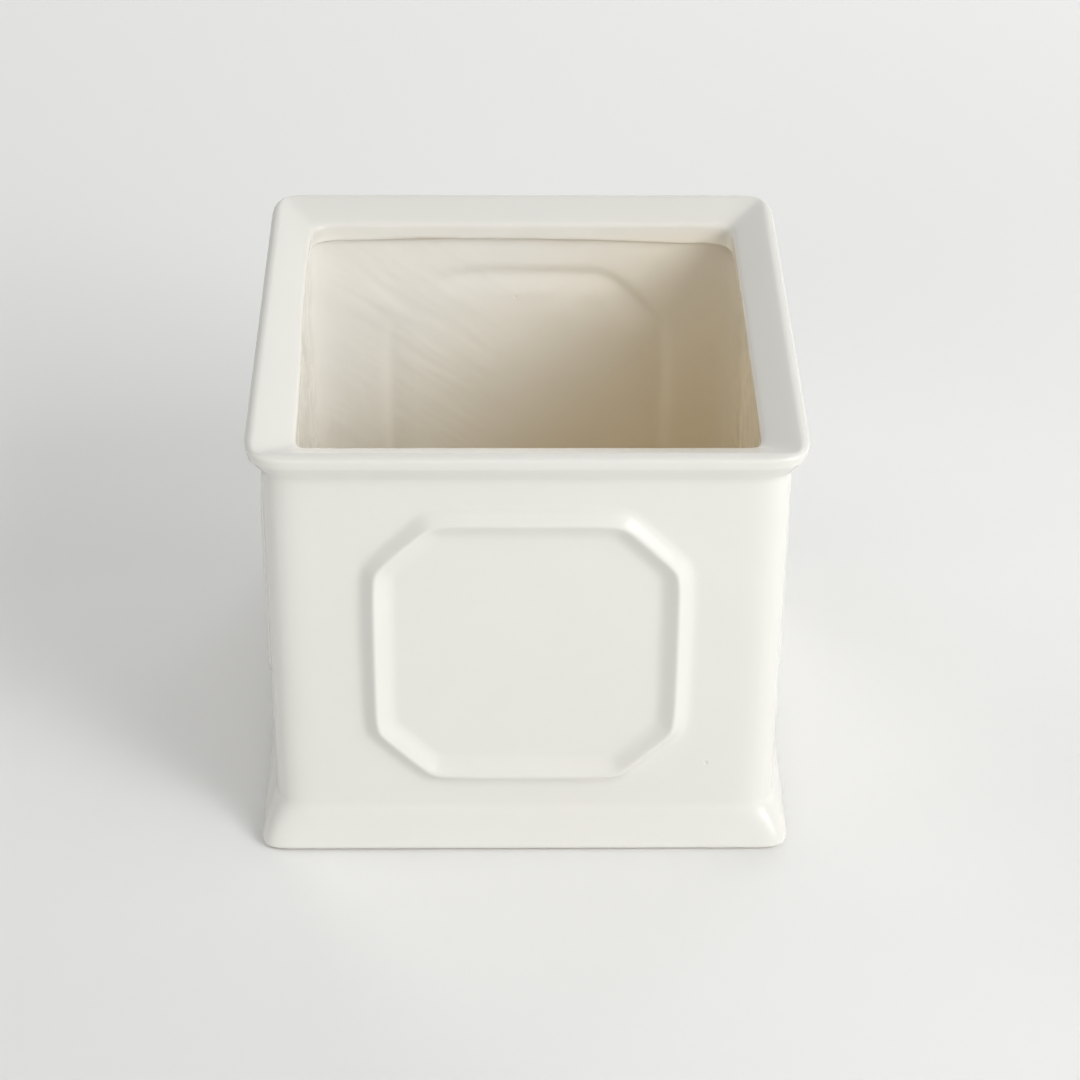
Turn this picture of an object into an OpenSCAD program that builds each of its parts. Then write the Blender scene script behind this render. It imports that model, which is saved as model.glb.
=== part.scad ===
// Square slip-cast cachepot with a picture-frame rim, a splayed plinth and an
// octagonal moulding on each face, standing on four soft pads.
// Origin: centre of the footprint, on the surface that the pads rest on. +Z is up.

/* [Body] */
// Outside width and depth of the square body between rim and plinth
body_w = 143.8; // [125:0.1:200]
// Height of the ceramic from its foot to the top of the rim
pot_h = 133.4; // [115:0.1:200]
// Thickness of the cast walls
wall_t = 5.9; // [4.5:0.1:8]
// Thickness of the cast floor
floor_t = 6; // [4:0.1:10]
// Radius of the body's upright corners outside
body_corner_r = 6; // [4:0.1:9]
// Radius of the upright corners inside
inner_corner_r = 5; // [3:0.1:9]
// Radius where the walls meet the floor inside
inner_floor_r = 5; // [2:0.1:9]

/* [Rim] */
// How far the rim stands out from the body on each side
rim_out = 4.1; // [3:0.1:7]
// Width of the face that slopes down into the pot
rim_face_w = 10.7; // [8:0.1:14]
// Fall of that sloping face
rim_face_drop = 4.3; // [2:0.1:6]
// Height of the upright lip under the sloping face
lip_h = 5.2; // [3:0.1:8]
// Radius of the soft edge between the sloping face and the lip
lip_edge_r = 1.8; // [1:0.1:2.6]
// How far the inside wall is set back under the lip
lip_undercut_h = 1.6; // [0.8:0.1:3]
// Radius of the mouth's corners
mouth_corner_r = 6; // [3:0.1:9]
// Radius of the ridge that runs round the top of the rim
ridge_r = 1.7; // [1:0.1:2.2]
// Height of the hollow moulding under the ridge
cove_h = 6.2; // [3:0.1:9]
// Radius of the rim's outer corners
rim_corner_r = 4.2; // [2.6:0.1:8]

/* [Plinth] */
// How far the plinth stands out from the body on each side
plinth_out = 4.4; // [3:0.1:7]
// Height of the plinth from the foot to the crease under the body
plinth_h = 12.4; // [9:0.1:18]
// Height over which the crease between plinth and body is softened
crease_soft = 1.6; // [0.4:0.1:3]
// Radius of the plinth's bottom edge
foot_r = 2.6; // [1:0.1:3.5]
// Radius of the plinth's corners
plinth_corner_r = 4; // [3.6:0.1:8]

/* [Octagonal moulding] */
// Distance from the body's side to the moulding's middle line
panel_side_in = 29.9; // [20:0.1:38]
// Distance from the plinth's crease up to the moulding's lower middle line
panel_low_in = 12.5; // [9:0.1:20]
// Distance from the hollow under the rim down to the moulding's upper middle line
panel_top_in = 13.3; // [9:0.1:20]
// Length that the diagonals take from each side of the octagon
panel_cut = 16; // [10:0.1:22]
// Width of the moulding across its two feet
bead_w = 9.4; // [7:0.1:13]
// Height of the moulding's ridge above the face
bead_h = 2.4; // [1:0.1:3.5]
// Width of the soft channel that the moulding leaves inside the wall
channel_w = 8; // [5:0.1:11]
// Depth of that channel
channel_d = 1.1; // [0.5:0.1:2]

/* [Underside and pads] */
// Width of the bare ring that the plinth forms underneath
foot_ring_w = 8; // [6:0.1:12]
// Depth of the recess inside that ring
recess_d = 2; // [1:0.1:2.4]
// Diameter of a pad
pad_d = 18; // [12:0.1:24]
// Thickness of a pad, which holds the foot off the surface by what it stands proud
pad_t = 3; // [2.6:0.1:5]
// Clearance between a pad's edge and the wall of the recess
pad_clear = 3; // [1:0.1:10]

/* [Hidden] */

// Facets in each quarter turn of a corner, and in each rounded edge
corner_n = 5;
edge_n = 5;
// Depth to which a moulding is rooted in the wall behind it
bead_root = 1;
// Radius that the inside keeps in its corners down at the floor
least_corner_r = 1;

body_half = body_w / 2;
inner_half = body_half - wall_t;
foot_z = pad_t - recess_d;
top_z = foot_z + pot_h;
crease_z = foot_z + plinth_h;
recess_z = foot_z + recess_d;
floor_z = recess_z + floor_t;

rim_half = body_half + rim_out;
plinth_half = body_half + plinth_out;
recess_half = plinth_half - foot_r - foot_ring_w;
mouth_half = rim_half - ridge_r - rim_face_w;
face_angle = atan(rim_face_drop / rim_face_w);

// Angle below level at which the ridge's round runs into the hollow under it, and
// the angle from there to the ridge's own first point
cove_meet = 40;
ridge_start = 10;
ridge_x = rim_half - ridge_r;
ridge_z = top_z - ridge_r;
cove_top_z = ridge_z - ridge_r * sin(cove_meet);
cove_z = cove_top_z - cove_h;

// Height of the rim's sloping face at a distance x from the middle
function face_z(x) = ridge_z + ridge_r / cos(face_angle) - (ridge_x - x) * tan(face_angle);
lip_edge_x = mouth_half + lip_edge_r;
lip_edge_z = face_z(lip_edge_x) - lip_edge_r / cos(face_angle);
lip_low_z = face_z(mouth_half) - lip_h;

panel_half_w = body_half - panel_side_in;
panel_low_z = crease_z + panel_low_in;
panel_top_z = cove_z - panel_top_in;
panel_half_h = (panel_top_z - panel_low_z) / 2;
panel_mid_z = (panel_top_z + panel_low_z) / 2;

pad_at = recess_half - pad_clear - pad_d / 2;

// How far the plinth's splayed side stands out where the crease's softening starts
crease_out = plinth_out * crease_soft / 2 / (plinth_h - foot_r);

// Points [half width, corner radius, height] of an edge that is rounded between two
// angles, about a centre at [x, z], while its corner radius goes from r0 to r1
function round_edge(x, z, r, from, to, r0, r1) =
    [for (i = [0:edge_n]) let (t = i / edge_n, a = from + (to - from) * t)
        [x + r * cos(a), r0 + (r1 - r0) * t, z + r * sin(a)]];

// The hollow under the rim: a quarter of an ellipse from the body out to the ridge
cove_reach = ridge_x + ridge_r * cos(cove_meet) - body_half;
cove = [for (i = [0:edge_n]) let (t = i / edge_n)
    [body_half + cove_reach * (1 - cos(90 * t)),
     body_corner_r + (rim_corner_r - body_corner_r) * t,
     cove_z + cove_h * sin(90 * t)]];

// The pot's section from the recess underneath, up the outside, over the rim and
// down the inside, as rounded squares [half width, corner radius, height]
section = concat(
    [[recess_half, plinth_corner_r, recess_z],
     [recess_half, plinth_corner_r, foot_z]],
    round_edge(plinth_half - foot_r, foot_z + foot_r, foot_r, -90, 0,
               plinth_corner_r, plinth_corner_r),
    [[body_half + crease_out, body_corner_r, crease_z - crease_soft / 2],
     [body_half, body_corner_r, crease_z + crease_soft / 2]],
    cove,
    round_edge(ridge_x, ridge_z, ridge_r, ridge_start - cove_meet, 90 + face_angle,
               rim_corner_r, ridge_r),
    round_edge(lip_edge_x, lip_edge_z, lip_edge_r, 90 + face_angle, 180,
               lip_edge_r, mouth_corner_r),
    [[mouth_half, mouth_corner_r, lip_low_z],
     [inner_half, inner_corner_r, lip_low_z - lip_undercut_h]],
    [for (i = [0:edge_n]) let (a = 90 * i / edge_n)
        [inner_half - inner_floor_r * (1 - cos(a)),
         max(inner_corner_r - inner_floor_r * (1 - cos(a)), least_corner_r),
         floor_z + inner_floor_r * (1 - sin(a))]]
);

// One rounded square of points, anticlockwise seen from above
function ring(s) = let (half = s[0], r = s[1], z = s[2], c = half - r)
    [for (q = [0:3]) for (i = [0:corner_n]) let (a = 90 * (q + i / corner_n))
        [c * (q == 0 || q == 3 ? 1 : -1) + r * cos(a),
         c * (q < 2 ? 1 : -1) + r * sin(a), z]];

// Triangles between each ring of n points and the next one
function bands(rings, n) =
    [for (k = [0:rings - 2]) for (i = [0:n - 1])
        let (a = k * n + i, b = k * n + (i + 1) % n)
            each [[a, a + n, b + n], [a, b + n, b]]];

// A solid through a list of rounded squares, closed by its first and last square
module skin(squares) {
    n = 4 * (corner_n + 1);
    last = (len(squares) - 1) * n;
    polyhedron(
        points = [for (s = squares) each ring(s)],
        faces = concat([[for (i = [0:n - 1]) i]],
                       bands(len(squares), n),
                       [[for (i = [n - 1:-1:0]) last + i]]));
}

// The octagon's corners, moved out from its middle line by d, at a height h
function octagon(d, h) =
    let (w = panel_half_w + d, t = panel_half_h + d, c = panel_cut + d * (2 - sqrt(2)))
        [[w, h, c - t], [w, h, t - c], [w - c, h, t], [c - w, h, t],
         [-w, h, t - c], [-w, h, c - t], [c - w, h, -t], [w - c, h, -t]];

// A closed moulding along the octagon, from a list of [distance from its middle
// line, height] that goes once round its cross-section
module octagonal_ring(outline) {
    n = 8;
    count = len(outline);
    polyhedron(
        points = [for (p = outline) each octagon(p[0], p[1])],
        faces = [for (k = [0:count - 1]) for (i = [0:n - 1])
            let (a = k * n + i, b = k * n + (i + 1) % n,
                 c = (k + 1) % count * n + i, d = (k + 1) % count * n + (i + 1) % n)
                each [[a, c, d], [a, d, b]]]);
}

// Cross-section of the raised moulding: hollow flanks that meet in a soft ridge
bead_outline = concat(
    [for (s = [-1, -0.65, -0.35, -0.1, 0.1, 0.35, 0.65, 1])
        [s * bead_w / 2, bead_h * pow(min((1 - abs(s)) / 0.9, 1), 1.4)]],
    [[bead_w / 2, -bead_root], [-bead_w / 2, -bead_root]]);

// Cross-section of the channel inside the wall, open towards the middle of the pot
channel_outline = concat(
    [for (s = [-1, -0.6, -0.2, 0.2, 0.6, 1])
        [s * channel_w / 2, channel_d * (1 + cos(180 * s)) / 2]],
    [[channel_w / 2, -bead_root], [-channel_w / 2, -bead_root]]);

// Puts a copy of its child on each of the four faces, at a distance from the axis
module on_faces(distance) {
    for (turn = [0:90:270])
        rotate([0, 0, turn])
            translate([0, distance, panel_mid_z])
                children();
}

module pot() {
    color("#e9e7df") {
        difference() {
            skin(section);
            on_faces(inner_half) octagonal_ring(channel_outline);
        }
        on_faces(body_half) octagonal_ring(bead_outline);
    }
}

// One pad under the corner on the side given by x and y, each -1 or 1
module pad(x, y) {
    color("#d8d4c8")
        translate([x * pad_at, y * pad_at, 0])
            cylinder(d = pad_d, h = pad_t, $fn = 64);
}

pot();
pad(-1, -1);  // pad_front_left
pad(1, -1);  // pad_front_right
pad(-1, 1);  // pad_back_left
pad(1, 1);  // pad_back_right
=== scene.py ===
"""The square glazed cachepot: a slip-cast pot with a picture-frame rim, an octagonal
moulding on each face and a splayed plinth, standing on four felt pads."""
import math

import bmesh
import bpy
from mathutils import Matrix, Vector


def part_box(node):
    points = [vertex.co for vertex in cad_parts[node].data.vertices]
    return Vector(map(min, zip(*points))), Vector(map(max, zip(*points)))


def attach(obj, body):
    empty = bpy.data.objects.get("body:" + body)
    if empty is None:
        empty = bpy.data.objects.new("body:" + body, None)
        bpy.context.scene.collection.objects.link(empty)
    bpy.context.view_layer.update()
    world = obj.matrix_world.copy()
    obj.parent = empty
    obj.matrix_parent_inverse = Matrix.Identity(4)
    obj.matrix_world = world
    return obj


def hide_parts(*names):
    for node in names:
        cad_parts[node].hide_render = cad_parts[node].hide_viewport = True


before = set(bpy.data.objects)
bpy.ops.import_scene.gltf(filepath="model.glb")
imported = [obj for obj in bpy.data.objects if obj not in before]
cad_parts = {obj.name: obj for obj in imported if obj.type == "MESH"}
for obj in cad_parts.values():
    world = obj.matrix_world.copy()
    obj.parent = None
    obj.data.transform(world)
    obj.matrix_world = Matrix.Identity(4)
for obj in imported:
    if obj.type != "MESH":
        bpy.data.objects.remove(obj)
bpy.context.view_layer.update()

# Sizes and places are in millimetres, and angles in degrees, where no comment says
# otherwise
MM = 0.001

# The pot's main sizes. The foot hangs a little lower than the solid's, as in the photo,
# and the rim's top leaves room for the waves in the glaze
FOOT_DROP = 0.65
TOP_DROP = 0.12
PLINTH_OUT = 4.4
RIM_OUT = 4
WALL_T = 5.9
pot_low, pot_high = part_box("pot")
FOOT_Z = pot_low.z / MM - FOOT_DROP
TOP_Z = pot_high.z / MM - TOP_DROP
PLINTH_HALF = pot_high.x / MM
BODY_HALF = PLINTH_HALF - PLINTH_OUT
RIM_HALF = BODY_HALF + RIM_OUT
INNER_HALF = BODY_HALF - WALL_T

# Corner radii, seen from above
BODY_CORNER = 8
RIM_CORNER = 9.5
RIDGE_CORNER = 8
PLINTH_CORNER = 5.5
MITRE_CORNER = 2.8
MOUTH_CORNER = 5.5
LIP_LOW_CORNER = 7.5
INNER_CORNER = 8
FLOOR_CORNER = 2

# The rim's section. Its top is a broad round that runs into a tighter one at its
# outer edge. The fascia under that leans inwards, rounds into a slant and reaches
# the body in a hollow, which takes up a share of the corner's change of radius
RIM_W = 12.4
FACE_ANGLE = 23.5
RIDGE_R = 3
EDGE_R = 1.2
EDGE_MEET = 58
FASCIA_H = 1.8
FASCIA_LEAN = 8
UNDER_R = 2.6
HOLLOW_ANGLE = 33
HOLLOW_R = 5
HOLLOW_SHARE = 0.5

# The middles of the rim's rounds, and where the hollow leaves the body
LEAN = math.radians(FASCIA_LEAN)
SLANT = math.radians(HOLLOW_ANGLE)
EDGE_X = RIM_HALF - EDGE_R
RIDGE_X = EDGE_X - (RIDGE_R - EDGE_R) * math.cos(math.radians(EDGE_MEET))
RIDGE_Z = TOP_Z - RIDGE_R
EDGE_Z = RIDGE_Z + (RIDGE_R - EDGE_R) * math.sin(math.radians(EDGE_MEET))
UNDER_X = RIM_HALF - FASCIA_H * math.tan(LEAN) - UNDER_R * math.cos(LEAN)
UNDER_Z = EDGE_Z - FASCIA_H + UNDER_R * math.sin(LEAN)
SLANT_OUT = UNDER_X + UNDER_R * math.cos(SLANT) - BODY_HALF - HOLLOW_R * (1 - math.cos(SLANT))
HOLLOW_Z = (UNDER_Z - UNDER_R * math.sin(SLANT) - SLANT_OUT / math.tan(SLANT)
            - HOLLOW_R * math.sin(SLANT))

# The mouth's lip: its rounded upper edge, its lower edge with the loops above and past
# it that keep it crisp, and the height over which the wall is set back under it
MOUTH_HALF = RIM_HALF - RIM_W
LIP_R = 2.2
LIP_LOW_Z = 125
LIP_LOOP_UP = 0.9
LIP_LOOP_OUT = 0.8
LIP_LOOP_DOWN = 0.4
UNDERCUT_H = 1.6

# How far the inside of the casting lies off the middle, to the right and to the back
INSIDE_OFF = (1.3, -1.0)

# The plinth, and the recess inside its foot ring, whose edges are softened by loops
PLINTH_H = 12.4
CREASE_SOFT = 4.4
FOOT_R = 1.7
FOOT_RING_W = 8
RECESS_D = 2
RECESS_LOOP = 1
RECESS_SOFT = 0.4
FLOOR_T = 6
FLOOR_R = 5
CREASE_Z = pot_low.z / MM + PLINTH_H
RECESS_Z = pot_low.z / MM + RECESS_D
FLOOR_Z = RECESS_Z + FLOOR_T

# The octagonal moulding: its ridge line's half width and height, its middle, what its
# diagonals take from each side, and the run that rounds its corners
PANEL_HALF_W = 42
PANEL_HALF_H = 42.9
PANEL_MID_Z = 68.8
BEAD_CUT = 16
BEAD_CORNER = 2.8
CHANNEL_CUT = 18
CHANNEL_CORNER = 3.8

# Cross-section of the raised moulding, and of the channel that it leaves inside the
# wall: [distance outwards from the ridge line, height], from the outer foot inwards
BEAD = ((5.6, 0), (4.5, 0.1), (3.5, 0.45), (2.5, 1.05), (1.5, 1.75), (0.65, 2.35), (0, 2.6),
        (-0.75, 2.3), (-1.8, 1.65), (-3, 0.95), (-4.2, 0.38), (-5.4, 0.08), (-6.5, 0))
CHANNEL = ((4.4, 0), (3.4, -0.1), (2.2, -0.4), (1.1, -0.78), (0.2, -0.94),
           (-0.9, -0.9), (-2.6, -0.62), (-4.6, -0.28), (-6.6, -0.07), (-8, 0))

# The flat field inside the moulding: the size to which its last loop shrinks, and the
# steps along one side of the grid that fills it
FIELD_LOOP = 0.85
FIELD_STEPS = 6

# Columns and rows of the cage, from a wall's middle outwards. The octagon's corners lie
# between the middle two of each, and the last ones frame the opening for its plate
COLUMNS = (0, 22, 33, 54)
ROWS = (0, 23, 34, 51.5)

# Steps in a round of the cage, in the one under the fascia and at the bridges between
# plate and wall, and the levels of smoothing at the end
ROUND_STEPS = 3
UNDER_STEPS = 2
BRIDGE_CUTS = 2
SMOOTHING = 2

# Turns of the four sides about the axis, from the front one on
SIDES = (0, 90, 180, 270)

# How much of a face's normal points up or down, at least on a level face and at most
# on an upright one
LEVEL = 0.9
UPRIGHT = 0.1


# Helpers for modelling by hand

def take_up(*pieces):
    """Selects only these pieces, the first of them active."""
    bpy.ops.object.select_all(action="DESELECT")
    for piece in pieces:
        piece.select_set(True)
    bpy.context.view_layer.objects.active = pieces[0]


def start_editing(piece, kind="FACE"):
    take_up(piece)
    bpy.ops.object.mode_set(mode="EDIT")
    bpy.ops.mesh.select_mode(type=kind)
    bpy.ops.mesh.select_all(action="DESELECT")


def stop_editing():
    bpy.ops.object.mode_set(mode="OBJECT")


def parts_of(piece, kind):
    """The points, edges or faces of a piece in edit mode."""
    mesh = bmesh.from_edit_mesh(piece.data)
    return {"VERT": mesh.verts, "EDGE": mesh.edges, "FACE": mesh.faces}[kind]


def pick(piece, kind, wanted):
    """Selects the points, edges or faces of a piece in edit mode that a test picks out."""
    bpy.ops.mesh.select_mode(type=kind)
    bpy.ops.mesh.select_all(action="DESELECT")
    for part in parts_of(piece, kind):
        if wanted(part):
            part.select_set(True)
    bmesh.update_edit_mesh(piece.data)


def picked(piece, kind):
    """The numbers of the points, edges or faces that are selected."""
    return {part.index for part in parts_of(piece, kind) if part.select}


def pick_again(piece, kind, numbers):
    pick(piece, kind, lambda part: part.index in numbers)


def middle(part):
    """The middle of an edge or a face."""
    points = [corner.co for corner in part.verts]
    return sum((point for point in points[1:]), points[0].copy()) / len(points) / MM


def near(a, b, room=0.05):
    return abs(a - b) < room


def out_from_axis(place):
    """How far a place lies from the pot's axis, square to the side that it is nearest."""
    return max(abs(place.x), abs(place.y))


def share_of(length, whole):
    """The share that a length makes up of a whole one, from 0 to 1."""
    return min(max(length / whole, 0), 1)


def act_softly(piece, wanted, aim, reach, operator, **settings):
    """Transforms the points that a test picks out, fully at the one nearest to a place
    and ever less around it, as far as a reach."""
    start_editing(piece, "VERT")
    pick(piece, "VERT", lambda point: wanted(point.co / MM))
    bpy.ops.mesh.hide(unselected=True)
    shown = [point for point in parts_of(piece, "VERT") if not point.hide]
    nearest = min(shown, key=lambda point: (point.co - aim * MM).length).index
    pick_again(piece, "VERT", {nearest})
    operator(use_proportional_edit=True, proportional_edit_falloff="SMOOTH",
             proportional_size=reach * MM, **settings)
    bpy.ops.mesh.reveal(select=False)
    stop_editing()


def finish_by(piece, kind, **settings):
    """Adds a modifier to a piece and applies it."""
    take_up(piece)
    modifier = piece.modifiers.new(kind.title(), kind)
    for name, value in settings.items():
        setattr(modifier, name, value)
    bpy.ops.object.modifier_apply(modifier=modifier.name)


def smooth_out(piece, levels):
    finish_by(piece, "SUBSURF", levels=levels, render_levels=levels)
    bpy.ops.object.shade_smooth()


# The pot's cage

def corner_reach(radius):
    """How far from a corner the cage's next column stands to round it to a radius. The
    smoothing draws a corner in by a sixth of the way to the columns beside it."""
    return radius * 6 * (1 - math.cos(math.radians(45)))


def round_edge(x, z, radius, start, end, steps, corner_start, corner_end):
    """Stations [half width, corner radius, height] along a rounded edge. The cage stands
    proud of it, as the smoothing leaves a point where four shares of itself and one of
    each of its two neighbours put it."""
    turn = (end - start) / steps
    proud = radius * 3 / (2 + math.cos(math.radians(turn)))
    stations = []
    for i in range(steps + 1):
        angle = math.radians(start + turn * i)
        corner = corner_start + (corner_end - corner_start) * i / steps
        stations.append((x + proud * math.cos(angle), corner, z + proud * math.sin(angle)))
    return stations


def face_z(x):
    """Height of the rim's sloping face at a distance x from the middle."""
    slope = math.radians(FACE_ANGLE)
    return RIDGE_Z + RIDGE_R / math.cos(slope) - (RIDGE_X - x) * math.tan(slope)


def hollow():
    """The hollow under the rim, an arc that leaves the body upright and ends in the
    slant that rises to the rim's edge."""
    stations = []
    for i in range(1, ROUND_STEPS + 1):
        share = i / ROUND_STEPS
        angle = math.radians(HOLLOW_ANGLE * share)
        corner = BODY_CORNER + (RIM_CORNER - BODY_CORNER) * share * HOLLOW_SHARE
        stations.append((BODY_HALF + HOLLOW_R * (1 - math.cos(angle)), corner,
                         HOLLOW_Z + HOLLOW_R * math.sin(angle)))
    return stations


def wall_rows():
    """Heights of the cage's rows on a wall, from the lowest up."""
    above = [PANEL_MID_Z + row for row in ROWS]
    below = [PANEL_MID_Z - row for row in ROWS[:0:-1]]
    return below + above


def rim():
    """Stations from the body's top over the rim to the lip's upper edge."""
    lip_x = MOUTH_HALF + LIP_R
    lip_z = face_z(lip_x) - LIP_R / math.cos(math.radians(FACE_ANGLE))
    stations = hollow()
    stations += round_edge(UNDER_X, UNDER_Z, UNDER_R, -HOLLOW_ANGLE, -FASCIA_LEAN,
                           UNDER_STEPS, RIM_CORNER, RIM_CORNER)
    stations += round_edge(EDGE_X, EDGE_Z, EDGE_R, -FASCIA_LEAN, EDGE_MEET,
                           ROUND_STEPS, RIM_CORNER, RIDGE_CORNER)
    stations += round_edge(RIDGE_X, RIDGE_Z, RIDGE_R, EDGE_MEET, 90 + FACE_ANGLE,
                           ROUND_STEPS, RIDGE_CORNER, MITRE_CORNER)[1:]
    stations += round_edge(lip_x, lip_z, LIP_R, 90 + FACE_ANGLE, 180,
                           ROUND_STEPS, MITRE_CORNER, MOUTH_CORNER)
    return stations


def inside():
    """Stations from the lip down the walls to the floor inside."""
    lip = [(MOUTH_HALF, MOUTH_CORNER, LIP_LOW_Z + LIP_LOOP_UP),
           (MOUTH_HALF, LIP_LOW_CORNER, LIP_LOW_Z),
           (MOUTH_HALF + LIP_LOOP_OUT, LIP_LOW_CORNER, LIP_LOW_Z - LIP_LOOP_DOWN),
           (INNER_HALF, INNER_CORNER, LIP_LOW_Z - UNDERCUT_H)]
    walls = [(INNER_HALF, INNER_CORNER, height) for height in reversed(wall_rows())]
    return lip + walls + round_edge(INNER_HALF - FLOOR_R, FLOOR_Z + FLOOR_R, FLOOR_R, 0, -90,
                                    ROUND_STEPS, INNER_CORNER, FLOOR_CORNER)


def under_the_foot():
    """Stations from the body's lower end down the plinth and into the recess."""
    splay = (PLINTH_HALF - BODY_HALF) / (CREASE_Z - FOOT_Z - FOOT_R)
    ring_in = PLINTH_HALF - FOOT_R - FOOT_RING_W
    return [(BODY_HALF, BODY_CORNER, CREASE_Z),
            (BODY_HALF + splay * CREASE_SOFT / 2, BODY_CORNER, CREASE_Z - CREASE_SOFT / 2),
            ((BODY_HALF + PLINTH_HALF) / 2, PLINTH_CORNER, (CREASE_Z + FOOT_Z + FOOT_R) / 2),
            *round_edge(PLINTH_HALF - FOOT_R, FOOT_Z + FOOT_R, FOOT_R, 0, -90,
                        ROUND_STEPS, PLINTH_CORNER, PLINTH_CORNER),
            (ring_in + RECESS_LOOP, PLINTH_CORNER, FOOT_Z),
            (ring_in, PLINTH_CORNER, FOOT_Z + RECESS_SOFT),
            (ring_in - RECESS_SOFT, PLINTH_CORNER, RECESS_Z - RECESS_SOFT / 2),
            (ring_in - (RECESS_LOOP + RECESS_SOFT), PLINTH_CORNER, RECESS_Z)]


def move_columns(piece, chosen, axis, old, new):
    """Moves the columns next to the corners of the chosen points from old to new."""
    pick(piece, "VERT", lambda point: point.index in chosen
         and near(abs(point.co[axis]) / MM, old))
    stretch = [1, 1, 1]
    stretch[axis] = new / old
    bpy.ops.transform.resize(value=stretch, center_override=(0, 0, 0))


def draw_out(piece, stations, now):
    """Extrudes the selected faces through stations of [half width, corner radius,
    height], from the station now, where they lie."""
    for half, corner, height in stations:
        bpy.ops.mesh.extrude_region_move(
            TRANSFORM_OT_translate={"value": (0, 0, (height - now[2]) * MM)})
        grow = half / now[0]
        bpy.ops.transform.resize(value=(grow, grow, 1), center_override=(0, 0, 0))
        faces = picked(piece, "FACE")
        chosen = picked(piece, "VERT")
        old = (now[0] - corner_reach(now[1])) * grow
        new = half - corner_reach(corner)
        for axis in (0, 1):
            move_columns(piece, chosen, axis, old, new)
        pick_again(piece, "FACE", faces)
        now = (half, corner, height)


def cut_across(axis, place):
    """Cuts the whole piece with a plane square to an axis, at a place along it."""
    bpy.ops.mesh.select_all(action="SELECT")
    where = [0, 0, 0]
    where[axis] = place * MM
    square = [0, 0, 0]
    square[axis] = 1
    bpy.ops.mesh.bisect(plane_co=where, plane_no=square)


def block_out():
    """The body as a block between plinth and rim, with its rows and columns. It stays in
    edit mode."""
    low = CREASE_Z + CREASE_SOFT / 2
    high = HOLLOW_Z
    bpy.ops.object.select_all(action="DESELECT")
    bpy.ops.mesh.primitive_cube_add(size=1)
    piece = bpy.context.object
    piece.name = "glazed_pot"
    start_editing(piece)
    bpy.ops.mesh.select_all(action="SELECT")
    bpy.ops.transform.resize(value=(2 * BODY_HALF * MM, 2 * BODY_HALF * MM, (high - low) * MM))
    bpy.ops.transform.translate(value=(0, 0, (high + low) / 2 * MM))
    column = BODY_HALF - corner_reach(BODY_CORNER)
    for axis in (0, 1):
        for place in (*COLUMNS, column):
            cut_across(axis, place)
            if place:
                cut_across(axis, -place)
    for height in wall_rows():
        cut_across(2, height)
    return piece


def shape_rim_and_foot(piece):
    """Draws the block's top out into rim and inside, and its bottom into the plinth. The
    piece is in edit mode before and after."""
    pick(piece, "FACE", lambda face: near(middle(face).z, HOLLOW_Z))
    draw_out(piece, rim() + inside(), (BODY_HALF, BODY_CORNER, HOLLOW_Z))
    low = CREASE_Z + CREASE_SOFT / 2
    pick(piece, "FACE", lambda face: near(middle(face).z, low) and face.normal.z < -LEVEL)
    draw_out(piece, under_the_foot(), (BODY_HALF, BODY_CORNER, low))


# The octagonal moulding and its channel

def octagon_outline(name, distance, foot, diagonal, corner_run):
    """A flat octagon that faces the front, as far from the ridge line as the moulding's
    outer foot, with its corners rounded by a run. It stays in edit mode."""
    half_w = PANEL_HALF_W + foot
    half_h = PANEL_HALF_H + foot
    cut = diagonal + foot * (2 - math.sqrt(2))
    bpy.ops.object.select_all(action="DESELECT")
    bpy.ops.mesh.primitive_plane_add(size=1, rotation=(math.radians(90), 0, 0))
    piece = bpy.context.object
    piece.name = name
    bpy.ops.object.transform_apply(location=False, rotation=True, scale=False)
    start_editing(piece)
    bpy.ops.mesh.select_all(action="SELECT")
    bpy.ops.transform.resize(value=(2 * half_w * MM, 1, 2 * half_h * MM))
    bpy.ops.transform.translate(value=(0, -distance * MM, PANEL_MID_Z * MM))
    bpy.ops.mesh.bevel(offset=cut * MM, affect="VERTICES")
    bpy.ops.mesh.select_all(action="SELECT")
    bpy.ops.mesh.bevel(offset=corner_run * MM, affect="VERTICES")
    bpy.ops.mesh.delete(type="ONLY_FACE")
    pick(piece, "EDGE", lambda edge: edge.calc_length() > 2 * corner_run * MM)
    bpy.ops.mesh.subdivide(number_cuts=1)
    bpy.ops.mesh.select_all(action="SELECT")
    bpy.ops.mesh.edge_face_add()
    if parts_of(piece, "FACE")[:][0].normal.y > 0:
        bpy.ops.mesh.flip_normals()
    return piece


def octagon_plate(name, distance, outline, diagonal, corner_run):
    """A plate that faces the front, with a moulding along its rim and a flat field."""
    piece = octagon_outline(name, distance, outline[0][0], diagonal, corner_run)
    bpy.ops.mesh.select_mode(type="FACE")
    for (d, h), (next_d, next_h) in zip(outline, outline[1:]):
        bpy.ops.mesh.inset(thickness=(d - next_d) * MM, depth=(next_h - h) * MM)
    bpy.ops.mesh.extrude_region_move()
    bpy.ops.transform.resize(value=(FIELD_LOOP, 1, FIELD_LOOP),
                             center_override=(0, -distance * MM, PANEL_MID_Z * MM))
    loop = picked(piece, "EDGE")
    bpy.ops.mesh.delete(type="ONLY_FACE")
    pick_again(piece, "EDGE", loop)
    bpy.ops.mesh.fill_grid(span=FIELD_STEPS, use_interp_simple=True)
    stop_editing()
    return piece


def shift(piece, wanted, move):
    """Moves the points that a test picks out."""
    start_editing(piece, "VERT")
    pick(piece, "VERT", lambda point: wanted(point.co / MM))
    bpy.ops.transform.translate(value=[part * MM for part in move])
    stop_editing()


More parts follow.
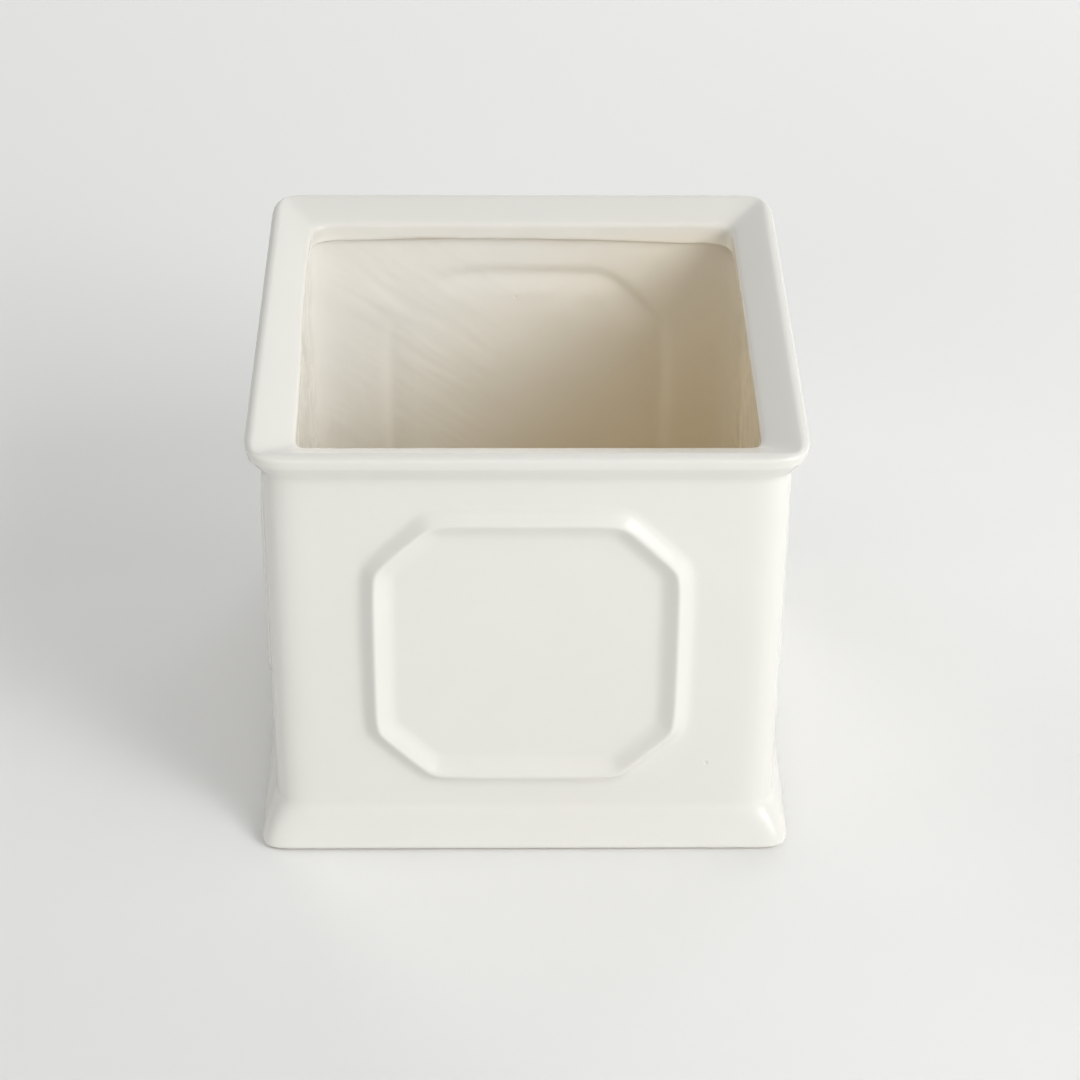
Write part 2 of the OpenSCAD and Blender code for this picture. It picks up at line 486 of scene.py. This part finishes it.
def turned_copy(piece, angle):
    """A copy of a piece, with its own mesh, turned round the pot's axis."""
    take_up(piece)
    bpy.ops.object.duplicate()
    copy = bpy.context.object
    copy.rotation_euler.z = math.radians(angle)
    bpy.ops.object.transform_apply(location=False, rotation=True, scale=False)
    return copy


def open_walls(piece, distance):
    """Deletes the faces that the plates take the place of, on all four sides."""
    def is_behind_plate(face):
        place = middle(face)
        on_wall = near(out_from_axis(place), distance) and abs(face.normal.z) < UPRIGHT
        along = min(abs(place.x), abs(place.y))
        return on_wall and along < COLUMNS[-1] and near(place.z, PANEL_MID_Z, ROWS[-1])
    pick(piece, "FACE", is_behind_plate)
    bpy.ops.mesh.delete(type="FACE")


def join_plates(piece, plate, distance):
    """Joins a plate and its copies to the pot and bridges each to the opening round it."""
    plates = [plate] + [turned_copy(plate, angle) for angle in SIDES[1:]]
    take_up(piece, *plates)
    bpy.ops.object.join()
    for angle in SIDES:
        out = Matrix.Rotation(math.radians(angle), 3, "Z") @ Vector((0, -1, 0))
        start_editing(piece)
        pick(piece, "EDGE", lambda edge: edge.is_boundary
             and near(middle(edge).dot(out), distance))
        bpy.ops.mesh.bridge_edge_loops(number_cuts=BRIDGE_CUTS, interpolation="LINEAR")
        stop_editing()


def add_panels(piece):
    """Puts a moulding on each side outside, and its channel in each wall inside. The
    channel's plate faces the middle of the pot, so it moves to the back wall first."""
    open_walls(piece, BODY_HALF)
    open_walls(piece, INNER_HALF)
    stop_editing()
    bead = octagon_plate("bead_plate", BODY_HALF, BEAD, BEAD_CUT, BEAD_CORNER)
    channel = octagon_plate("channel_plate", INNER_HALF, CHANNEL, CHANNEL_CUT, CHANNEL_CORNER)
    shift(channel, lambda place: True, (0, 2 * INNER_HALF, 0))
    join_plates(piece, bead, BODY_HALF)
    join_plates(piece, channel, INNER_HALF)
    start_editing(piece)
    bpy.ops.mesh.select_all(action="SELECT")
    bpy.ops.mesh.normals_make_consistent(inside=False)
    stop_editing()


# What sets the casting off from a regular one

# How far past the inner walls and below the floor's level a point of the inside may
# lie, and how far below the lip's lower edge it has to
WALL_ROOM = 3
FLOOR_ROOM = 1
UNDER_LIP = 0.6

# Where the channel in the back wall is worn away: a place [x, z], the share of its depth
# that is left there, and a reach
WORN = ((-37, 100.5, 0, 27), (34, 34, 0.4, 20))

# How far a point of the back wall's plate may lie from the wall, and outside its frame
PLATE_ROOM = 2
FRAME_ROOM = 0.5

# Pulls on the mouth: what moves, from a place, by a move, with a reach
PULLS = (
    ("mouth", (-64, -64), (1.05, 0, 0), 78),
    ("mouth", (-64, 28), (-0.8, 0, 0), 62),
    ("lip", (64, 60), (0.2, 0, -1.6), 62),
    ("lip", (-10, 64), (0, 0, 0.4), 50),
    ("lip", (-64, 60), (-0.6, 0, -0.6), 80),
    ("lip", (64, 0), (0.7, 0, 0), 70),
)

# How high above the floor the mouth's pulls still move the walls, how far inside the
# walls the lip lies, and how far above and below its lower edge its loops lie
MOUTH_LOW = 10
LIP_IN = 1
LIP_ROOM = 1.3


def is_inside(place):
    """Whether a place lies on the inside, from under the lip down to the floor."""
    return (out_from_axis(place) < INNER_HALF + WALL_ROOM
            and FLOOR_Z - FLOOR_ROOM < place.z < LIP_LOW_Z - UNDER_LIP)


def is_back_plate(place):
    """Whether a place lies on the channel's plate inside the back wall."""
    return (near(place.y, INNER_HALF, PLATE_ROOM)
            and abs(place.x) < COLUMNS[-1] + FRAME_ROOM
            and near(place.z, PANEL_MID_Z, ROWS[-1] + FRAME_ROOM))


def is_mouth(place):
    """Whether a place lies no further out than the mouth's rounded edge, and above the
    floor's round."""
    return out_from_axis(place) < MOUTH_HALF + LIP_R and place.z > FLOOR_Z + MOUTH_LOW


def is_lip(place):
    """Whether a place lies on the lower edge of the mouth's lip."""
    return out_from_axis(place) < INNER_HALF - LIP_IN and near(place.z, LIP_LOW_Z, LIP_ROOM)


def wear_channel(piece):
    """Flattens the channel inside the back wall softly where its mould is worn."""
    for x, z, share, reach in WORN:
        aim = Vector((x, INNER_HALF, z))
        act_softly(piece, is_back_plate, aim, reach, bpy.ops.transform.resize,
                   value=(1, share, 1), center_override=aim * MM)


def pull_mouth(piece):
    """Makes the mouth as uneven as it is by hand, with soft pulls."""
    tests = {"mouth": is_mouth, "lip": is_lip}
    for what, (x, y), move, reach in PULLS:
        act_softly(piece, tests[what], Vector((x, y, LIP_LOW_Z)), reach,
                   bpy.ops.transform.translate, value=[part * MM for part in move])


# Waves in the surface: where they are, their size, how they are drawn out along X, Y
# and Z, their turn and their height
WAVES = {
    "inside_runs": ("inside", 9, (3.2, 1, 1), (0, 38, 0), 0.45),
    "inside_swells": ("inside", 26, (1, 1, 1), (0, 0, 0), 0.5),
    "outside_swells": ("outside", 34, (1, 1, 1), (0, 0, 0), 0.16),
}

# The height above the recess over which the waves outside come in
WAVES_RISE = 8


def add_waves(piece):
    """Raises soft waves in the glaze, each from a cloud that is drawn out one way."""
    shares = {name: piece.vertex_groups.new(name=name) for name in ("inside", "outside")}
    for point, within in zip(piece.data.vertices, piece.data.attributes["inside"].data):
        shares["inside"].add([point.index], within.value, "REPLACE")
        raised = share_of(point.co.z / MM - RECESS_Z, WAVES_RISE)
        shares["outside"].add([point.index], (1 - within.value) * raised, "REPLACE")
    for name, (where, size, drawn, turn, height) in WAVES.items():
        guide = bpy.data.objects.new(name, None)
        bpy.context.scene.collection.objects.link(guide)
        guide.rotation_euler = [math.radians(angle) for angle in turn]
        guide.scale = [part * size * MM for part in drawn]
        texture = bpy.data.textures.new(name, "CLOUDS")
        texture.noise_scale = 1
        texture.noise_depth = 1
        bpy.context.view_layer.update()
        finish_by(piece, "DISPLACE", texture=texture, texture_coords="OBJECT",
                  texture_coords_object=guide, vertex_group=where, mid_level=0.5,
                  strength=height * MM)
        bpy.data.objects.remove(guide)
        bpy.data.textures.remove(texture)


# The lining's mark: how far past the inner walls it reaches, how far under the rim's
# top it starts, and over what height it comes to its full share
LINING_OUT = 2.6
LINING_START = 3
LINING_RISE = 8

# How far from the mouth's side a point of the lip's lower edge may lie, which is brown
# from the thin glaze there and from painted shade under the lip
LIP_EDGE_ROOM = 0.3


def mark_glaze(piece):
    """Stores on the points where the glaze lies inside the pot, and the lip's lower edge,
    which is brown from thin glaze and from painted shade under the lip.
    """
    lining = piece.data.attributes.new("inside", "FLOAT", "POINT")
    thin_and_shaded = piece.data.attributes.new("thin_edge_and_shade", "FLOAT", "POINT")
    for point, within, edge in zip(piece.data.vertices, lining.data, thin_and_shaded.data):
        place = point.co / MM
        out = out_from_axis(place)
        if out < INNER_HALF + LINING_OUT and place.z > FLOOR_Z - FLOOR_ROOM:
            within.value = share_of(TOP_Z - LINING_START - place.z, LINING_RISE)
            # The lip's lower edge, brown from thin glaze and from painted shade under the lip
            edge.value = float(near(place.z, LIP_LOW_Z) and near(out, MOUTH_HALF, LIP_EDGE_ROOM))


def make_pot():
    piece = block_out()
    shape_rim_and_foot(piece)
    add_panels(piece)
    wear_channel(piece)
    shift(piece, is_inside, (*INSIDE_OFF, 0))
    pull_mouth(piece)
    mark_glaze(piece)
    smooth_out(piece, SMOOTHING)
    add_waves(piece)
    return piece


# The pads

PAD_POINTS = 48
PAD_RINGS = 4
PAD_EDGE_R = 0.35
PAD_EDGE_STEPS = 3
PAD_SHARP = 40


def make_pad(node):
    """A felt pad, its flat sides divided into rings and its edge rounded."""
    low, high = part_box(node)
    place = (low + high) / 2
    width = high.x - low.x
    height = high.z - low.z

    def starts_on_edge(edge):
        """Whether an edge lies level and its first point is on the pad's side."""
        first, last = edge.verts
        return (near(first.co.z / MM, last.co.z / MM)
                and near((first.co - place).xy.length / MM, width / 2 / MM))

    bpy.ops.object.select_all(action="DESELECT")
    bpy.ops.mesh.primitive_cylinder_add(vertices=PAD_POINTS, radius=width / 2, depth=height,
                                        location=place)
    piece = bpy.context.object
    piece.name = "felt_" + node
    bpy.ops.object.transform_apply(location=True, rotation=False, scale=False)
    start_editing(piece)
    pick(piece, "FACE", lambda face: abs(face.normal.z) > LEVEL)
    for _ in range(PAD_RINGS):
        bpy.ops.mesh.inset(thickness=width / 2 / (PAD_RINGS + 2), use_boundary=True)
    pick(piece, "EDGE", starts_on_edge)
    bpy.ops.mesh.bevel(offset=PAD_EDGE_R * MM, segments=PAD_EDGE_STEPS, affect="EDGES")
    stop_editing()
    bpy.ops.object.shade_smooth_by_angle(angle=math.radians(PAD_SHARP))
    return piece


# Helpers for materials

def new_material(name):
    material = bpy.data.materials.new(name)
    material.use_nodes = True
    return material, material.node_tree


def paint(piece, material):
    piece.data.materials.clear()
    piece.data.materials.append(material)


def feed(tree, socket, source):
    """Connects a socket to another node's output, or gives it a plain value."""
    if isinstance(source, bpy.types.NodeSocket):
        tree.links.new(source, socket)
    else:
        socket.default_value = source


def work_out(tree, operation, *sources):
    """The result of a sum, a product or the like."""
    node = tree.nodes.new("ShaderNodeMath")
    node.operation = operation
    for socket, source in zip(node.inputs, sources):
        feed(tree, socket, source)
    return node.outputs[0]


def ramp(tree, source, low, high, to_low=0.0, to_high=1.0):
    """A soft step of a value between low and high."""
    node = tree.nodes.new("ShaderNodeMapRange")
    node.interpolation_type = "SMOOTHSTEP"
    for name, value in zip(("Value", "From Min", "From Max", "To Min", "To Max"),
                           (source, low, high, to_low, to_high)):
        feed(tree, node.inputs[name], value)
    return node.outputs[0]


def ramp_along(tree, source, start, end, to_start=0.0, to_end=1.0):
    """A soft step between two places."""
    return ramp(tree, source, start * MM, end * MM, to_start, to_end)


def blend(tree, share, first, second, kind="RGBA"):
    """A mix of two colours, or of two numbers if the kind is FLOAT."""
    node = tree.nodes.new("ShaderNodeMix")
    node.data_type = kind
    feed(tree, node.inputs["Factor"], share)
    feed(tree, node.inputs["A"], first)
    feed(tree, node.inputs["B"], second)
    return node.outputs["Result"]


def vector_length(tree, operation, *sources):
    """The length of a vector, or the distance between two."""
    node = tree.nodes.new("ShaderNodeVectorMath")
    node.operation = operation
    for socket, source in zip(node.inputs, sources):
        feed(tree, socket, source)
    return node.outputs["Value"]


def stretched(tree, place, sizes, turn):
    """Places for a pattern whose marks have these sizes and are turned by these angles."""
    node = tree.nodes.new("ShaderNodeMapping")
    node.vector_type = "TEXTURE"
    feed(tree, node.inputs["Vector"], place)
    node.inputs["Rotation"].default_value = [math.radians(angle) for angle in turn]
    node.inputs["Scale"].default_value = [size * MM for size in sizes]
    return node.outputs[0]


def cloud(tree, place, scale, detail, roughness=0.5):
    """A soft random pattern with features about 1/scale across, in metres, or in the
    sizes of stretched places."""
    node = tree.nodes.new("ShaderNodeTexNoise")
    feed(tree, node.inputs["Vector"], place)
    node.inputs["Scale"].default_value = scale
    node.inputs["Detail"].default_value = detail
    node.inputs["Roughness"].default_value = roughness
    return node.outputs["Fac"]


def patches(tree, place, pattern, weakest=0.0, strongest=1.0):
    """Soft random patches from a pattern of [scale, detail, low, high]."""
    scale, detail, low, high = pattern
    return ramp(tree, cloud(tree, place, scale, detail), low, high, weakest, strongest)


def ripple(tree, height, strength, depth, before=None):
    """Raises the surface's normals by a pattern, on top of the one before."""
    node = tree.nodes.new("ShaderNodeBump")
    feed(tree, node.inputs["Height"], height)
    node.inputs["Strength"].default_value = strength
    node.inputs["Distance"].default_value = depth * MM
    if before:
        feed(tree, node.inputs["Normal"], before)
    return node.outputs[0]


def object_place(tree):
    return tree.nodes.new("ShaderNodeTexCoord").outputs["Object"]


def parts_of_place(tree, place):
    node = tree.nodes.new("ShaderNodeSeparateXYZ")
    feed(tree, node.inputs[0], place)
    return node.outputs


def painted(tree, name):
    """A share that is stored on the piece's points."""
    node = tree.nodes.new("ShaderNodeAttribute")
    node.attribute_name = name
    return node.outputs["Fac"]


# The glaze

GLAZE = (0.82, 0.81, 0.76, 1)
GLAZE_CREAM = (0.80, 0.78, 0.72, 1)
# The lining's colours paint light and shade: pale where light falls in, warm brown in its shade
GLAZE_INSIDE = (0.90, 0.89, 0.85, 1)
GLAZE_DEEP_SHADE = (0.89, 0.78, 0.59, 1)
# The lip's lower edge: brown of thin glaze, with painted shade under the lip
GLAZE_EDGE_AND_SHADE = (0.50, 0.38, 0.26, 1)
BARE_CLAY = (0.84, 0.77, 0.66, 1)
GLAZE_IOR = 1.5

# Random patches in the glaze, of cream, of brown on the lip's lower edge, which is thin
# glaze and painted shade under the lip, and of a duller gloss: [features per metre,
# detail, low, high], and what they come to
CREAM_PATCHES = (14, 3, 0.35, 0.75)
CREAM_SHARE = 0.35
BROWN_PATCHES = (60, 2, 0.3, 0.6)
BROWN_SHARES = (0.45, 0.8)
GLOSS_PATCHES = (45, 3, 0.3, 0.7)
GLOSS_ROUGHNESS = (0.11, 0.17)
BARE_ROUGHNESS = 0.75

# Heights above the foot below which the glaze starts to be wiped off, and is all gone
BARE_FROM = 0.5
BARE_FULL = 0.1

# Heights between which the lining turns to its deep colour, and how much lower they are
# for each millimetre to the left. This is painted light and shade: the lining is paler
# up and to the left, where light falls into the pot, and warm brown low down and to the
# right, where its inside lies in shade
LINING_HIGH = 140
LINING_LOW = -10
LINING_ACROSS = 1

# Flow marks in the lining: the size of one, and its turn about X, Y and Z where they come
# down from the left and from the right. Along X, where the one kind gives way to the
# other, and where both fade out towards the left wall. Along Y, where they grow to full
# strength towards the back wall, and the share of it that they have before
FLOW_SIZE = (24, 24, 5.2)
FLOW_FROM_LEFT = (0, 36, 0)
FLOW_FROM_RIGHT = (0, -14, 0)
FLOW_MEET = (-22, 12)
FLOW_LEFT_END = (-65, -58)
FLOW_BACK = (45, 62)
FLOW_ELSEWHERE = 0.3

# Tiny pits, in the lining's back wall and low on the front: their middles, their radius
# and the share of it that is their flat bottom
PITS = ((-2.3, 65.5, 104), (51.5, -72, 29))
PIT_R = 0.9
PIT_BOTTOM = 0.2

# Ripples in the glaze, as [strength, depth], and the scale and detail of the random ones
SWELLS = (55, 1)
SWELL_RIPPLE = (0.25, 0.6)
FLOW_RIPPLE = (1, 0.4)
PIT_RIPPLE = (1, 0.2)
PEEL = (700, 2)
PEEL_RIPPLE = (0.08, 0.1)


def flow_marks(tree, place, parts):
    """Ripples where the glaze ran over the lining, down towards the middle of the back
    wall from both sides, and none on the left wall."""
    from_left = cloud(tree, stretched(tree, place, FLOW_SIZE, FLOW_FROM_LEFT), 1, 1)
    from_right = cloud(tree, stretched(tree, place, FLOW_SIZE, FLOW_FROM_RIGHT), 1, 1)
    marks = blend(tree, ramp_along(tree, parts["X"], *FLOW_MEET), from_left, from_right, "FLOAT")
    share = work_out(tree, "MULTIPLY", painted(tree, "inside"),
                     ramp_along(tree, parts["Y"], *FLOW_BACK, FLOW_ELSEWHERE, 1))
    share = work_out(tree, "MULTIPLY", share, ramp_along(tree, parts["X"], *FLOW_LEFT_END))
    return work_out(tree, "MULTIPLY", marks, share)


def pits(tree, place):
    """How far the surface lies below its surroundings in the pits, from 0 to 1."""
    depth = 0.0
    for centre in PITS:
        away = vector_length(tree, "DISTANCE", place, [part * MM for part in centre])
        depth = work_out(tree, "MAXIMUM", depth,
                         ramp_along(tree, away, PIT_R, PIT_BOTTOM * PIT_R))
    return depth


def glaze_colour(tree, place, parts, bare):
    """Off-white with cream patches. Inside, painted light and shade: paler up and to the
    left, where light falls in, and warm brown low down and to the right, in the shade.
    Brown at the lip's lower edge, from thin glaze and from painted shade under the lip.
    """
    cream = work_out(tree, "MULTIPLY", patches(tree, place, CREAM_PATCHES), CREAM_SHARE)
    colour = blend(tree, cream, GLAZE, GLAZE_CREAM)
    # Painted light and shade in the lining: pale up and to the left, where light falls in, warm
    # brown low down and to the right, in the shade
    across = work_out(tree, "MULTIPLY", parts["X"], LINING_ACROSS)
    depth = work_out(tree, "SUBTRACT", parts["Z"], across)
    lining = blend(tree, ramp_along(tree, depth, LINING_HIGH, LINING_LOW),
                   GLAZE_INSIDE, GLAZE_DEEP_SHADE)
    colour = blend(tree, painted(tree, "inside"), colour, lining)
    # Brown at the lip's lower edge: thin glaze there, and painted shade under the lip
    brown_edge_and_shade = work_out(tree, "MULTIPLY", painted(tree, "thin_edge_and_shade"),
                     patches(tree, place, BROWN_PATCHES, *BROWN_SHARES))
    colour = blend(tree, brown_edge_and_shade, colour, GLAZE_EDGE_AND_SHADE)
    return blend(tree, bare, colour, BARE_CLAY)


def glaze_surface(tree, place, parts):
    """Swells, flow marks, pits and a fine peel, one on top of the other."""
    swells = ripple(tree, cloud(tree, place, *SWELLS), *SWELL_RIPPLE)
    flow = ripple(tree, flow_marks(tree, place, parts), *FLOW_RIPPLE, before=swells)
    sunk = work_out(tree, "MULTIPLY", pits(tree, place), -1)
    pitted = ripple(tree, sunk, *PIT_RIPPLE, before=flow)
    return ripple(tree, cloud(tree, place, *PEEL), *PEEL_RIPPLE, before=pitted)


def glaze():
    """Glossy glaze that is wiped off the foot ring, which is bare clay."""
    material, tree = new_material("off_white_glaze")
    shader = tree.nodes["Principled BSDF"]
    place = object_place(tree)
    parts = parts_of_place(tree, place)
    bare = ramp_along(tree, parts["Z"], FOOT_Z + BARE_FROM, FOOT_Z + BARE_FULL)
    feed(tree, shader.inputs["Base Color"], glaze_colour(tree, place, parts, bare))
    gloss = patches(tree, place, GLOSS_PATCHES, *GLOSS_ROUGHNESS)
    rough_clay = work_out(tree, "MULTIPLY", bare, BARE_ROUGHNESS)
    feed(tree, shader.inputs["Roughness"], work_out(tree, "MAXIMUM", gloss, rough_clay))
    shader.inputs["IOR"].default_value = GLAZE_IOR
    feed(tree, shader.inputs["Normal"], glaze_surface(tree, place, parts))
    return material


# The felt

FELT_DARK = (0.60, 0.56, 0.48, 1)
FELT_PALE = (0.72, 0.69, 0.61, 1)
FELT_ROUGHNESS = 0.95
FELT_SHEEN = 0.3

# Tufts: features per metre, detail and roughness, and the part of the pattern's range
# over which the felt turns pale
TUFTS = (900, 4, 0.65)
TUFT_RANGE = (0.3, 0.7)

# Fibres that lie two ways: the size of one and its turn, and their ripple
FIBRES = (((0.4, 2, 0.4), (0, 0, 35)), ((2, 0.4, 0.4), (0, 0, 20)))
FIBRE_DETAIL = 3
FIBRE_RIPPLE = (0.6, 0.3)


def felt():
    """Pale pressed felt."""
    material, tree = new_material("pale_felt")
    shader = tree.nodes["Principled BSDF"]
    place = object_place(tree)
    tufts = ramp(tree, cloud(tree, place, *TUFTS), *TUFT_RANGE)
    feed(tree, shader.inputs["Base Color"], blend(tree, tufts, FELT_DARK, FELT_PALE))
    shader.inputs["Roughness"].default_value = FELT_ROUGHNESS
    shader.inputs["Sheen Weight"].default_value = FELT_SHEEN
    fibres = [cloud(tree, stretched(tree, place, size, turn), 1, FIBRE_DETAIL)
              for size, turn in FIBRES]
    lay = work_out(tree, "ADD", *fibres)
    feed(tree, shader.inputs["Normal"], ripple(tree, lay, *FIBRE_RIPPLE))
    return material


# Floor, light and camera

FLOOR_W = 8000
FLOOR_COLOUR = (0.85, 0.85, 0.84, 1)
FLOOR_ROUGHNESS = 0.8

# How far from the pot the floor starts to fade into the room's tone, and where it ends
FADE_FROM = 560
FADE_TO = 800

# How strongly the room shows to the camera, where 1 is white, and in the gloss
ROOM_TONE = 0.85
ROOM_GLOSS = 0.26

# Soft round lamps about the pot: azimuth, with 0 in front and 90 on the right,
# elevation, diameter in metres and power in watts
WINDOW_LAMPS = {
    "window_middle": (48, 24, 0.42, 3.7),
    "window_top": (50, 38, 1, 12),
    "window_top_right": (80, 38, 1, 5.3),
    "window_foot": (50, 20, 1, 5.2),
    "window_foot_left": (35, 20, 1, 3),
}

# Lamps for the pale room round the window, which the gloss doesn't mirror one by one
ROOM_LAMPS = {
    "front": (0, 40, 1.2, 2.8),
    "front_right": (30, 18, 1.1, 3),
    "right_back": (120, 18, 1.1, 6.5),
    "back_right": (150, 18, 1.1, 11.5),
    "back": (180, 18, 1.1, 11),
    "left_back": (240, 40, 1.2, 6),
    "left": (270, 40, 1.2, 4.2),
    "left_ceiling": (300, 65, 1.2, 5.3),
    "front_left": (330, 18, 1.1, 4.7),
}

# How far all lamps stand from the place that they point at, and its height
LAMP_DISTANCE = 2000
LAMP_AIM_Z = 70

# The camera: its place, how far it looks down and to the right, its roll and its lens
CAMERA_PLACE = (-9.654, -753.754, 564.979)
CAMERA_DOWN = 33.96
CAMERA_YAW = 1.11
CAMERA_ROLL = 0.57
CAMERA_LENS = 101.09
CAMERA_SENSOR_W = 36
CAMERA_NEAREST = 50
CAMERA_FARTHEST = 50000


def fade_far_away(tree, shader):
    """Lets the camera see the far floor as the same pale tone as the room behind it."""
    away = vector_length(tree, "LENGTH", object_place(tree))
    seen = tree.nodes.new("ShaderNodeLightPath").outputs["Is Camera Ray"]
    far = ramp_along(tree, away, FADE_FROM, FADE_TO)
    glow = tree.nodes.new("ShaderNodeEmission")
    glow.inputs["Strength"].default_value = ROOM_TONE
    mixed = tree.nodes.new("ShaderNodeMixShader")
    feed(tree, mixed.inputs[0], work_out(tree, "MULTIPLY", far, seen))
    feed(tree, mixed.inputs[1], shader.outputs[0])
    feed(tree, mixed.inputs[2], glow.outputs[0])
    feed(tree, tree.nodes["Material Output"].inputs["Surface"], mixed.outputs[0])


def add_floor():
    bpy.ops.object.select_all(action="DESELECT")
    bpy.ops.mesh.primitive_plane_add(size=FLOOR_W * MM)
    piece = bpy.context.object
    piece.name = "floor"
    material, tree = new_material("pale_floor")
    shader = tree.nodes["Principled BSDF"]
    shader.inputs["Base Color"].default_value = FLOOR_COLOUR
    shader.inputs["Roughness"].default_value = FLOOR_ROUGHNESS
    fade_far_away(tree, shader)
    paint(piece, material)


def add_lamp(name, azimuth, elevation, diameter, power):
    """A soft round lamp that points at the pot from a direction."""
    lamp = bpy.data.lights.new(name, "AREA")
    lamp.shape = "DISK"
    lamp.size = diameter
    lamp.energy = power
    aim = Matrix.Translation((0, 0, LAMP_AIM_Z * MM))
    turn = Matrix.Rotation(math.radians(azimuth), 4, "Z")
    tilt = Matrix.Rotation(math.radians(90 - elevation), 4, "X")
    away = Matrix.Translation((0, 0, LAMP_DISTANCE * MM))
    piece = bpy.data.objects.new(name, lamp)
    bpy.context.scene.collection.objects.link(piece)
    piece.matrix_world = aim @ turn @ tilt @ away
    return piece


def add_light():
    """A pale room that the camera and the gloss see, and the lamps."""
    world = bpy.data.worlds.new("studio")
    bpy.context.scene.world = world
    world.use_nodes = True
    tree = world.node_tree
    ray = tree.nodes.new("ShaderNodeLightPath")
    seen = work_out(tree, "MULTIPLY", ray.outputs["Is Camera Ray"], ROOM_TONE)
    mirrored = work_out(tree, "MULTIPLY", ray.outputs["Is Glossy Ray"], ROOM_GLOSS)
    background = tree.nodes["Background"]
    background.inputs["Color"].default_value = (1, 1, 1, 1)
    feed(tree, background.inputs["Strength"], work_out(tree, "ADD", seen, mirrored))
    for name, settings in WINDOW_LAMPS.items():
        add_lamp(name, *settings)
    for name, settings in ROOM_LAMPS.items():
        add_lamp(name, *settings).visible_glossy = False


def add_camera():
    camera = bpy.data.cameras.new("camera")
    camera.lens = CAMERA_LENS
    camera.sensor_width = CAMERA_SENSOR_W
    camera.clip_start = CAMERA_NEAREST * MM
    camera.clip_end = CAMERA_FARTHEST * MM
    piece = bpy.data.objects.new("camera", camera)
    bpy.context.scene.collection.objects.link(piece)
    place = Matrix.Translation([part * MM for part in CAMERA_PLACE])
    yaw = Matrix.Rotation(math.radians(-CAMERA_YAW), 4, "Z")
    pitch = Matrix.Rotation(math.radians(90 - CAMERA_DOWN), 4, "X")
    roll = Matrix.Rotation(math.radians(CAMERA_ROLL), 4, "Z")
    piece.matrix_world = place @ yaw @ pitch @ roll
    bpy.context.scene.camera = piece


bpy.context.scene.view_settings.view_transform = "Standard"
add_camera()
add_floor()
add_light()

pot = make_pot()
paint(pot, glaze())
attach(pot, "root")
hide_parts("pot")

felt_finish = felt()
for node in ("pad_front_left", "pad_front_right", "pad_back_left", "pad_back_right"):
    pad = make_pad(node)
    paint(pad, felt_finish)
    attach(pad, "root")
    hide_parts(node)
